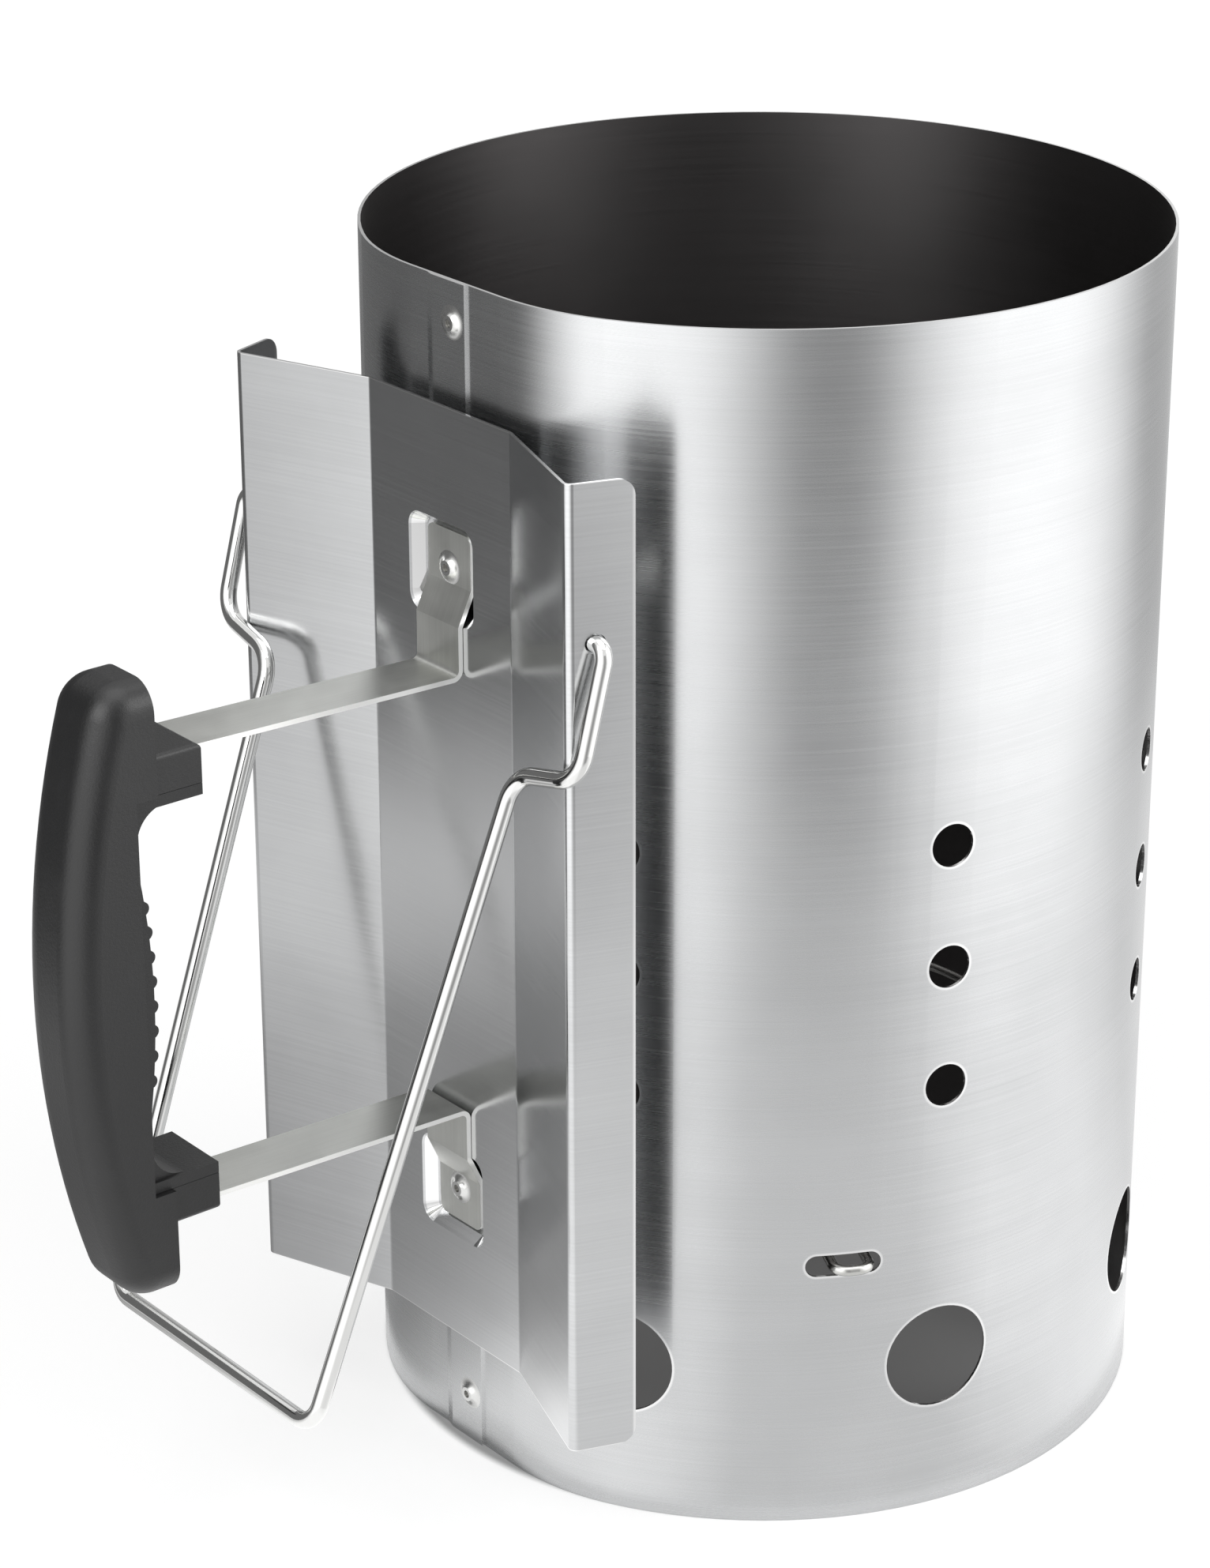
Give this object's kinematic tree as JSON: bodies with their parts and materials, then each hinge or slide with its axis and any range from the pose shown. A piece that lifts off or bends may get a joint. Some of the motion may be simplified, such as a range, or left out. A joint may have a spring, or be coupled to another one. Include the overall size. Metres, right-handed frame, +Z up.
{
  "type": "chimney charcoal starter",
  "caption": "Vented steel cylinder with a wire grate, folded heat shield, strap handle with moulded grip and a swinging wire bail, for lighting charcoal.",
  "frame": {"origin": "axis of the cylinder at its bottom rim", "axes": "+Z up along the cylinder, +X towards the handle"},
  "size_m": [0.3001, 0.1904, 0.2955],
  "materials": {
    "shell_sheet": "satin aluminised sheet",
    "shield_sheet": "satin aluminised sheet",
    "strap_steel": "zinc-plated flat bar",
    "grip_plastic": "fine moulded texture",
    "grip_insert": "fine moulded texture",
    "bail_wire": "bright nickel-plated wire",
    "rivet": "satin",
    "mandrel": "dull",
    "screw": "zinc plated",
    "grate_wire": "plated wire"
  },
  "bodies": {
    "starter": {"chimney_shell": "shell_sheet", "heat_shield": "shield_sheet", "handle_strap": "strap_steel", "grip_back": "grip_plastic", "grip_front": "grip_insert", "grip_screw_upper": "screw", "grip_screw_lower": "screw", "seam_rivet_top": "rivet", "seam_rivet_top_mandrel": "mandrel", "seam_rivet_bottom": "rivet", "seam_rivet_bottom_mandrel": "mandrel", "foot_rivet_upper": "rivet", "foot_rivet_upper_mandrel": "mandrel", "foot_rivet_lower": "rivet", "foot_rivet_lower_mandrel": "mandrel"},
    "bail": {"bail_wire": "bail_wire"},
    "grate": {"grate_spoke_1": "grate_wire", "grate_spoke_2": "grate_wire", "grate_spoke_3": "grate_wire", "grate_spoke_4": "grate_wire", "grate_ring_outer": "grate_wire", "grate_ring_middle": "grate_wire", "grate_ring_inner": "grate_wire"}
  },
  "joints": [
    {"name": "bail_swing", "type": "hinge", "parent": "starter", "child": "bail", "pos_m": [0.1026, 0, 0.2315], "axis": [0, -1, 0], "range_deg": [0, 149.8]},
    {"name": "grate_turn", "type": "hinge", "parent": "starter", "child": "grate", "pos_m": [0, 0, 0.068], "axis": [0, 0, -1], "range_deg": [0, 2.7]}
  ]
}
